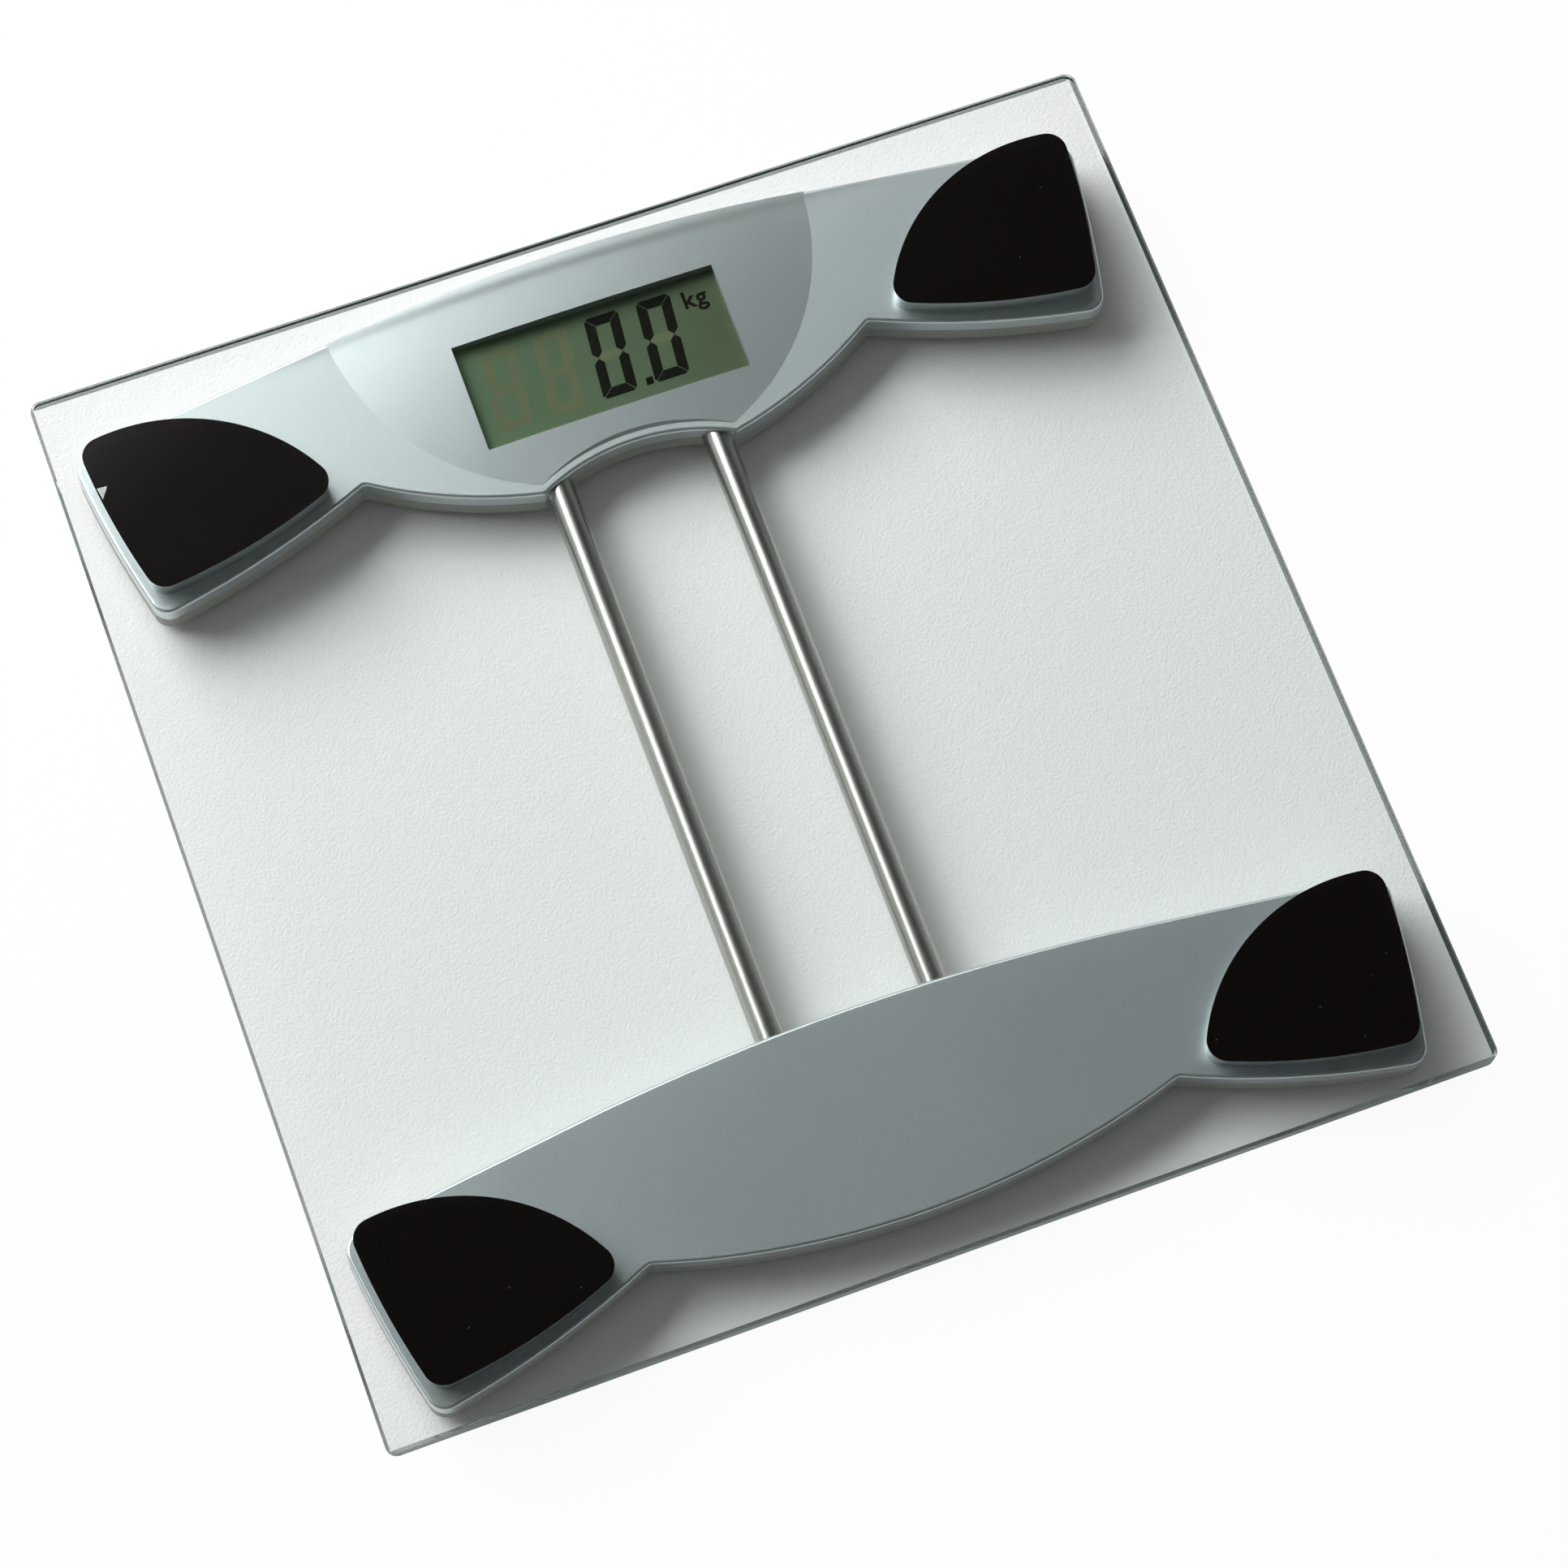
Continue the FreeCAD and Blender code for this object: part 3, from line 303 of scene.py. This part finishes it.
FINISHES = {
    "tempered_glass": clear_glass(glass_high.x, GROUND_RIM),
    "black_pad": flat_print("black_print", (0.0035, 0.0018, 0.0018), (0.0060, 0.0040, 0.0040)),
    "silver_paint": silver_paint(),
    "grey_plastic": grey_plastic(),
    "brushed_tube": brushed_tube(),
    "cell_steel": pressed_steel("cell_steel", (0.55, 0.54, 0.52), 0.30),
    "white_silicone": moulded("white_silicone", 0.70, 0.80, 0.45),
    "black_plastic": moulded("black_plastic", 0.020, 0.035, 0.42),
    "sole_rubber": moulded("sole_rubber", 0.035, 0.055, 0.72, depth=0.05 * MM),
    "board_green": circuit_laminate(),
    "lcd_glass": display_glass(),
    "connector_rubber": moulded("connector_rubber", 0.10, 0.16, 0.6),
    "cell_nickel": pressed_steel("cell_nickel", (0.72, 0.69, 0.63), 0.16),
    "screw_steel": pressed_steel("screw_steel", (0.50, 0.50, 0.50), 0.28),
    "wire_jacket": moulded("wire_jacket", 0.40, 0.48, 0.5),
}
SLOT_OF = {part["node"]: part["material_slot"] for part in frame["record"]["subparts"]}
for name, piece in NODES.items():
    piece.data.materials.clear()
    piece.data.materials.append(FINISHES[SLOT_OF[name]])


# Pieces ---------------------------------------------------------------------------------------
def kept(name, mesh, slot, finish=None, stands_for=()):
    """Add a finished mesh as a piece of the scale's own body."""
    piece = bpy.data.objects.new(name, mesh)
    bpy.context.scene.collection.objects.link(piece)
    mesh.materials.clear()
    mesh.materials.append(finish or FINISHES[slot])
    if stands_for:
        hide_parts(*stands_for)
    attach(piece, BODY)


def stacked(name, *solids):
    """Closed solids, each through level loops of equal count, from below as (points, level)."""
    build = bmesh.new()
    for loops in solids:
        rings = [[build.verts.new((x, y, level)) for x, y in points] for points, level in loops]
        count = len(rings[0])
        for low, high in zip(rings, rings[1:]):
            for index in range(count):
                after = (index + 1) % count
                build.faces.new((low[index], low[after], high[after], high[index]))
        build.faces.new(rings[0][::-1])
        build.faces.new(rings[-1])
    bmesh.ops.recalc_face_normals(build, faces=build.faces[:])
    mesh = bpy.data.meshes.new(name)
    build.to_mesh(mesh)
    build.free()
    return mesh


def plates(name, outlines, low, high):
    """Thin flat shapes with the same bottom and top level."""
    return stacked(name, *([(outline, low), (outline, high)] for outline in outlines))


class Pattern(Bench):
    """A geometry tree with named sizes that sets one shape on every point it is given."""

    def __init__(self, name, **sizes):
        super().__init__(bpy.data.node_groups.new(name, "GeometryNodeTree"))
        self.sizes = {word.replace("_", " "): size for word, size in sizes.items()}
        self.tree.interface.new_socket("Points", in_out="INPUT", socket_type="NodeSocketGeometry")
        for word in self.sizes:
            self.tree.interface.new_socket(word, in_out="INPUT", socket_type="NodeSocketFloat")
        self.tree.interface.new_socket("Mesh", in_out="OUTPUT", socket_type="NodeSocketGeometry")
        self.entry = self.tree.nodes.new("NodeGroupInput")

    def size(self, word):
        return Wire(self, self.entry.outputs[word])

    def vector(self, x=0.0, y=0.0, z=0.0):
        return self.node("ShaderNodeCombineXYZ", {}, {"X": x, "Y": y, "Z": z})

    def raised(self, shape, level):
        return self.node("GeometryNodeTransform", {}, {
            "Geometry": shape, "Translation": self.vector(z=level)})

    def disc(self, radius, low, high, top=None, sides=32):
        """An upright cylinder or cone from one level to another."""
        height = high - low
        solid = self.node("GeometryNodeMeshCone", {}, {
            "Vertices": sides, "Radius Top": radius if top is None else top,
            "Radius Bottom": radius, "Depth": height}, "Mesh")
        return self.raised(solid, low)

    def block(self, x, y, low, high):
        """A box about the middle, from one level to another."""
        solid = self.node("GeometryNodeMeshCube", {}, {
            "Size": self.vector(x, y, high - low)}, "Mesh")
        return self.raised(solid, (low + high) * 0.5)

    def combined(self, operation, first, *others):
        """Cut shapes from the first one, unite them with it, or keep what they share."""
        made = self.node("GeometryNodeMeshBoolean", {"operation": operation, "solver": "EXACT"},
                         out="Mesh")
        inputs = made.socket.node.inputs
        if operation == "DIFFERENCE":
            self.tree.links.new(first.socket, inputs["Mesh 1"])
        else:
            others = (first, *others)
        for other in others:
            self.tree.links.new(other.socket, inputs["Mesh 2"])
        return made

    def together(self, *shapes):
        made = self.node("GeometryNodeJoinGeometry")
        for shape in shapes:
            self.tree.links.new(shape.socket, made.socket.node.inputs[0])
        return made

    def grown(self, shape, points, material):
        """Set the shape on the points and keep what comes of it as a plain mesh."""
        placed = self.node("GeometryNodeInstanceOnPoints", {}, {
            "Points": self.size("Points"), "Instance": shape})
        solid = self.node("GeometryNodeRealizeInstances", {}, {"Geometry": placed})
        painted = self.node("GeometryNodeSetMaterial", {}, {
            "Geometry": solid, "Material": material})
        self.node("NodeGroupOutput", {}, {"Mesh": painted})
        seeds = bpy.data.meshes.new(self.tree.name)
        seeds.from_pydata(points, [], [])
        holder = bpy.data.objects.new(self.tree.name, seeds)
        bpy.context.scene.collection.objects.link(holder)
        modifier = holder.modifiers.new(self.tree.name, "NODES")
        modifier.node_group = self.tree
        for item in self.tree.interface.items_tree:
            if item.in_out == "INPUT" and item.name in self.sizes:
                modifier[item.identifier] = self.sizes[item.name]
        ready = bpy.context.evaluated_depsgraph_get()
        mesh = bpy.data.meshes.new_from_object(holder.evaluated_get(ready))
        bpy.data.objects.remove(holder)
        return mesh


# Glass ------------------------------------------------------------------------------------------
def loop_of(half_x, half_y, radius, steps=10):
    """A rectangle with rounded corners, anticlockwise."""
    turn = math.pi / 2
    centres = [(half_x - radius, half_y - radius), (radius - half_x, half_y - radius),
               (radius - half_x, radius - half_y), (half_x - radius, radius - half_y)]
    return [(x + radius * math.cos(turn * (corner + step / steps)),
             y + radius * math.sin(turn * (corner + step / steps)))
            for corner, (x, y) in enumerate(centres) for step in range(steps + 1)]


outer = loop_of(glass_high.x, glass_high.y, GLASS_CORNER)
inner = loop_of(glass_high.x - ARRIS, glass_high.y - ARRIS, GLASS_CORNER - ARRIS)
kept("platform_glass", stacked("platform_glass", [
    (inner, glass_low.z + PRINT_GAP), (outer, glass_low.z + ARRIS), (outer, glass_high.z - ARRIS),
    (inner, glass_high.z)]), "tempered_glass", stands_for=("glass_platform",))


# Where the print under the glass is scratched off at the rim of one pad, in millimetres
NICK = [(-139.9, 122.2), (-139.3, 118.7), (-137.1, 122.0)]
NICK_FLOOR, NICK_TOP = 0.005 * MM, 0.02 * MM
print_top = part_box("pad_back_left")[1].z
scratched = moulded("scratched_print", 0.30, 0.85, 0.35, grain=0.7 * MM)
kept("pad_nick", plates("pad_nick", [[(x * MM, y * MM) for x, y in NICK]], print_top + NICK_FLOOR,
                        print_top + NICK_TOP), "black_pad", scratched)


# Soles and screws -------------------------------------------------------------------------------
SOLE_SIDES, SHANK_SIDES, RIBS = 48, 16, 9


def middles(nodes):
    """The middle of each node's lowest face."""
    corners = [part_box(node) for node in nodes]
    return [((low.x + high.x) / 2, (low.y + high.y) / 2, low.z) for low, high in corners]


def ribbed_soles():
    """Round rubber soles with a rim and straight ribs that grip the floor."""
    soles = [f"sole_{corner}" for corner in CORNERS]
    low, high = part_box(soles[0])
    tree = Pattern("ribbed_soles", Sole_Radius=high.x - (low.x + high.x) / 2,
                   Sole_Height=high.z - low.z, Rib_Height=0.5 * MM, Rib_Width=1.1 * MM,
                   Rib_Pitch=2.3 * MM, Rim_Width=1.2 * MM)
    radius, height, rise, pitch, rim_width = (tree.size(word) for word in (
        "Sole Radius", "Sole Height", "Rib Height", "Rib Pitch", "Rim Width"))
    floor, into_web, below, above = 0.0 * rise, rise * 1.2, -1.0 * rise, rise * 2
    web = tree.disc(radius, rise, height, sides=SOLE_SIDES)
    rim = tree.combined("DIFFERENCE", tree.disc(radius, floor, into_web, sides=SOLE_SIDES),
                        tree.disc(radius - rim_width, below, above, sides=SOLE_SIDES))
    line = tree.node("GeometryNodeMeshLine", {}, {
        "Count": RIBS, "Start Location": tree.vector(x=pitch * (-(RIBS // 2))),
        "Offset": tree.vector(x=pitch)})
    rib = tree.block(tree.size("Rib Width"), radius * 2, floor, into_web)
    rows = tree.node("GeometryNodeRealizeInstances", {}, {"Geometry": tree.node(
        "GeometryNodeInstanceOnPoints", {}, {"Points": line, "Instance": rib})})
    ribs = tree.combined("INTERSECT", rows, tree.disc(
        radius - rim_width * 0.5, below, above, sides=SOLE_SIDES))
    mesh = tree.grown(tree.together(web, rim, ribs), middles(soles), FINISHES["sole_rubber"])
    kept("ribbed_soles", mesh, "sole_rubber", stands_for=soles)


def islands(node):
    """The lowest and highest corners of every separate solid in a node."""
    joined = bmesh.new()
    joined.from_mesh(NODES[node].data)
    bmesh.ops.remove_doubles(joined, verts=joined.verts[:], dist=0.001 * MM)
    waiting, found = set(joined.verts), []
    while waiting:
        queue, group = [waiting.pop()], []
        while queue:
            vertex = queue.pop()
            group.append(vertex.co.copy())
            for edge in vertex.link_edges:
                other = edge.other_vert(vertex)
                if other in waiting:
                    waiting.remove(other)
                    queue.append(other)
        found.append([Vector(pick(spot[axis] for spot in group) for axis in range(3))
                      for pick in (min, max)])
    joined.free()
    return sorted(found, key=lambda corners: tuple(corners[0]))


def case_screws():
    """Pan-headed screws with a cross recess, seen from below in the housings."""
    groups = [f"case_screws_{end}" for end in ENDS]
    solids = [corners for group in groups for corners in islands(group)]
    low, high = solids[0]
    tree = Pattern("case_screws", Head_Radius=(high.x - low.x) * 0.49, Head_Height=1.4 * MM,
                   Shank_Radius=1.3 * MM, Length=high.z - low.z, Slot_Width=0.6 * MM,
                   Slot_Depth=0.9 * MM)
    head, tall, slot = tree.size("Head Radius"), tree.size("Head Height"), tree.size("Slot Width")
    nothing, shoulder, seat, reach = tall * 0.0, tall * 0.45, tall * 0.9, head * 1.15
    crown = tree.disc(head * 0.72, nothing, shoulder, top=head)
    rim = tree.disc(head, shoulder, tall)
    shank = tree.disc(tree.size("Shank Radius"), seat, tree.size("Length"), sides=SHANK_SIDES)
    bars = [tree.block(x, y, nothing - tall, tree.size("Slot Depth"))
            for x, y in ((slot, reach), (reach, slot))]
    drilled = tree.combined("DIFFERENCE", tree.combined("UNION", crown, rim), *bars)
    spots = [((start.x + end.x) / 2, (start.y + end.y) / 2, start.z) for start, end in solids]
    mesh = tree.grown(tree.together(drilled, shank), spots, FINISHES["screw_steel"])
    kept("cross_head_screws", mesh, "screw_steel", stands_for=groups)


ribbed_soles()
case_screws()

# Display ----------------------------------------------------------------------------------------
DIGIT_WIDTH, DIGIT_HEIGHT, STROKE, SPLIT = 9.8 * MM, 24.2 * MM, 2.85 * MM, 0.13 * MM
SLANT = math.tan(math.radians(6.0))
DIGIT_PITCH = 14.95 * MM
FIRST_DIGIT = Vector((-3.2 * MM, 104.6 * MM))
DECIMAL_POINT = [(9.3, 104.7), (11.3, 104.7), (11.5, 106.9), (9.5, 106.9)]  # in millimetres
UNIT_SIZE, UNIT_CORNER = 7.2 * MM, (26.6 * MM, 122.6 * MM)
UNIT_WEIGHT, UNIT_SPACING = 0.022, 1.12  # the strokes' swelling by size, and the letters' pitch
INK = 0.04 * MM


def segments(lit):
    """Outlines of the lit segments of one digit, before it slants: a to g in the usual order."""
    wide, tall, thick, gap = DIGIT_WIDTH, DIGIT_HEIGHT, STROKE, SPLIT
    nick, middle = 0.9 * MM, tall / 2
    half = thick / 2
    upper = {
        "a": [(gap + nick, tall), (wide - gap - nick, tall),
              (wide - gap - nick / 2, tall - nick / 2), (wide - thick - gap, tall - thick),
              (thick + gap, tall - thick), (gap + nick / 2, tall - nick / 2)],
        "f": [(0, tall - gap - nick), (nick / 2, tall - gap - nick / 2),
              (thick, tall - thick - gap), (thick, middle + half + gap), (half, middle + gap),
              (0, middle + half + gap)],
    }
    mirrored = {"b": [(wide - x, y) for x, y in upper["f"]]}
    flipped = {
        name: [(x, tall - y) for x, y in outline]
        for name, outline in (("d", upper["a"]), ("e", upper["f"]), ("c", mirrored["b"]))
    }
    centre = {"g": [
        (half + gap, middle), (thick + gap, middle + half), (wide - thick - gap, middle + half),
        (wide - half - gap, middle), (wide - thick - gap, middle - half),
        (thick + gap, middle - half)]}
    shapes = {**upper, **mirrored, **flipped, **centre}
    return [shapes[name] for name in lit]


def digit(number, lit):
    """The lit segments of a digit, slanted and moved to its place in the row."""
    start = FIRST_DIGIT + Vector((number * DIGIT_PITCH, 0))
    return [[(start.x + x + SLANT * y, start.y + y) for x, y in outline]
            for outline in segments(lit)]


ink_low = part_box("lcd_panel")[1].z
ink_high = ink_low + INK
ZERO, EIGHT = "abcdef", "abcdefg"
lit = digit(0, ZERO) + digit(1, ZERO) + [[(x * MM, y * MM) for x, y in DECIMAL_POINT]]
faint = digit(-2, EIGHT) + digit(-1, EIGHT) + digit(0, "g") + digit(1, "g")
ink = flat_print("display_ink", (0.007, 0.007, 0.005), (0.010, 0.010, 0.008))
ghost = flat_print("display_ghost", screen(96, 104, 80), screen(102, 106, 82))
kept("display_digits", plates("display_digits", lit, ink_low, ink_high), "lcd_glass", ink)
kept("display_ghosts", plates("display_ghosts", faint, ink_low, ink_low + INK / 4),
     "lcd_glass", ghost)


def lettering(name, words, size, corner):
    """Flat lettering as a thin mesh with its lower left corner at a place."""
    text = bpy.data.curves.new(name, "FONT")
    text.body, text.size, text.extrude = words, size, INK / 2
    text.offset, text.space_character = size * UNIT_WEIGHT, UNIT_SPACING
    shown = bpy.data.objects.new(name, text)
    bpy.context.scene.collection.objects.link(shown)
    bpy.context.view_layer.update()
    ready = bpy.context.evaluated_depsgraph_get()
    mesh = bpy.data.meshes.new_from_object(shown.evaluated_get(ready))
    bpy.data.objects.remove(shown)
    mesh.transform(Matrix.Translation((corner[0], corner[1], ink_low + INK / 2)))
    return mesh


kept("display_unit", lettering("display_unit", "kg", UNIT_SIZE, UNIT_CORNER), "lcd_glass", ink)


# Stage, lights and camera ---------------------------------------------------------------------
PAPER_GLOW = 0.93  # how far the paper keeps its own white where the camera sees it


def paper():
    """White textured paper."""
    finish = Finish("paper")
    fibres = finish.noise(0.8 * MM)
    lumps = finish.noise(5 * MM)
    sheet = finish.surface(Base_Color=shade(0.86), Roughness=0.9,
                           Normal=finish.bumps(fibres + lumps * 0.5, 0.30 * MM, 0.45))
    path = finish.node("ShaderNodeLightPath", out="Is Camera Ray")
    glow = finish.node("ShaderNodeEmission", {}, {"Color": shade(1.0), "Strength": 1.0})
    return finish.done(finish.mixed(path * PAPER_GLOW, sheet, glow))


FLOOR_HALF, FLOOR_LEVEL = 4.0, -0.2 * MM
floor_mesh = bpy.data.meshes.new("floor")
floor_mesh.from_pydata([(x * FLOOR_HALF, y * FLOOR_HALF, FLOOR_LEVEL)
                        for x, y in ((-1, -1), (1, -1), (1, 1), (-1, 1))], [], [(0, 1, 2, 3)])
floor = bpy.data.objects.new("floor", floor_mesh)
floor_mesh.materials.append(paper())
bpy.context.scene.collection.objects.link(floor)


def lamp(name, place, target, width, height, power):
    """A soft light that faces a target."""
    data = bpy.data.lights.new(name, "AREA")
    data.shape = "RECTANGLE"
    data.size, data.size_y, data.energy = width, height, power
    made = bpy.data.objects.new(name, data)
    made.location = place
    made.rotation_mode = "QUATERNION"
    made.rotation_quaternion = (Vector(target) - Vector(place)).to_track_quat("-Z", "Y")
    bpy.context.scene.collection.objects.link(made)
    return made


KEY_PLACE, KEY_WIDTH, KEY_HEIGHT, KEY_POWER = (-1.17, 1.69, 1.43), 2.6, 1.56, 106.0
key = lamp("key", KEY_PLACE, (0, 0, 0), KEY_WIDTH, KEY_HEIGHT, KEY_POWER)
# The glass lets the key light through but doesn't mirror the lamp itself
glareless = bpy.data.collections.new("glass_without_glare")
glareless.objects.link(bpy.data.objects["platform_glass"])
glareless.collection_objects[0].light_linking.link_state = "EXCLUDE"
key.light_linking.receiver_collection = glareless

world = bpy.data.worlds.new("studio")
world.use_nodes = True
bpy.context.scene.world = world
studio = Bench(world.node_tree)
studio.tree.nodes.clear()
seen = studio.node("ShaderNodeLightPath", out="Is Camera Ray")
mirrored = Wire(studio, picked(seen.socket.node.outputs, "Is Glossy Ray"))
aim = studio.node("ShaderNodeTexCoord", out="Generated")
across, along, up = (studio.node("ShaderNodeSeparateXYZ", {}, {"Vector": aim}, axis)
                     for axis in "XYZ")


def eased(height, start, end, first=0.0, last=1.0):
    """A smooth step from a first to a last value, as a height goes from start to end."""
    return studio.node("ShaderNodeMapRange", {"interpolation_type": "SMOOTHSTEP"}, {
        "Value": height, "From Min": start, "From Max": end, "To Min": first, "To Max": last})


def background(strength):
    return studio.node("ShaderNodeBackground", {}, {"Color": shade(1.0), "Strength": strength})


# What glossy surfaces mirror: dark straight up, dim walls, and a bright panel high at the back
ROOM_LIGHT, CEILING, WALL, WALL_SLOPE, PANEL = 0.19, 0.005, 0.16, 0.20, 6.2
walls = eased(up, 0.45, 0.88, 1.0, 0.0) * (WALL + WALL_SLOPE * along)
panel = PANEL * eased(along - 0.5 * across, 0.38, 0.66) * eased(up, 0.60, 0.78)
surroundings = studio.node("ShaderNodeMixShader", {}, {
    0: mirrored, 1: background(ROOM_LIGHT), 2: background(CEILING + walls + panel)})
studio.node("ShaderNodeOutputWorld", {}, {"Surface": studio.node("ShaderNodeMixShader", {}, {
    0: seen, 1: surroundings, 2: background(1.0)})})

EYE = Vector((-156.94, -359.76, 1109.32)) * MM
AIM = Vector((2.75, -18.69, 26.0)) * MM
ROLL = math.radians(5.04)
LENS, FILM_WIDTH = 101.23, 36.0
camera_data = bpy.data.cameras.new("camera")
camera_data.lens, camera_data.sensor_width = LENS, FILM_WIDTH
camera = bpy.data.objects.new("camera", camera_data)
camera.location = EYE
camera.rotation_mode = "QUATERNION"
camera.rotation_quaternion = (AIM - EYE).to_track_quat("-Z", "Y") @ Quaternion((0, 0, 1), ROLL)
bpy.context.scene.collection.objects.link(camera)
bpy.context.scene.camera = camera
bpy.context.scene.view_settings.view_transform = "Standard"
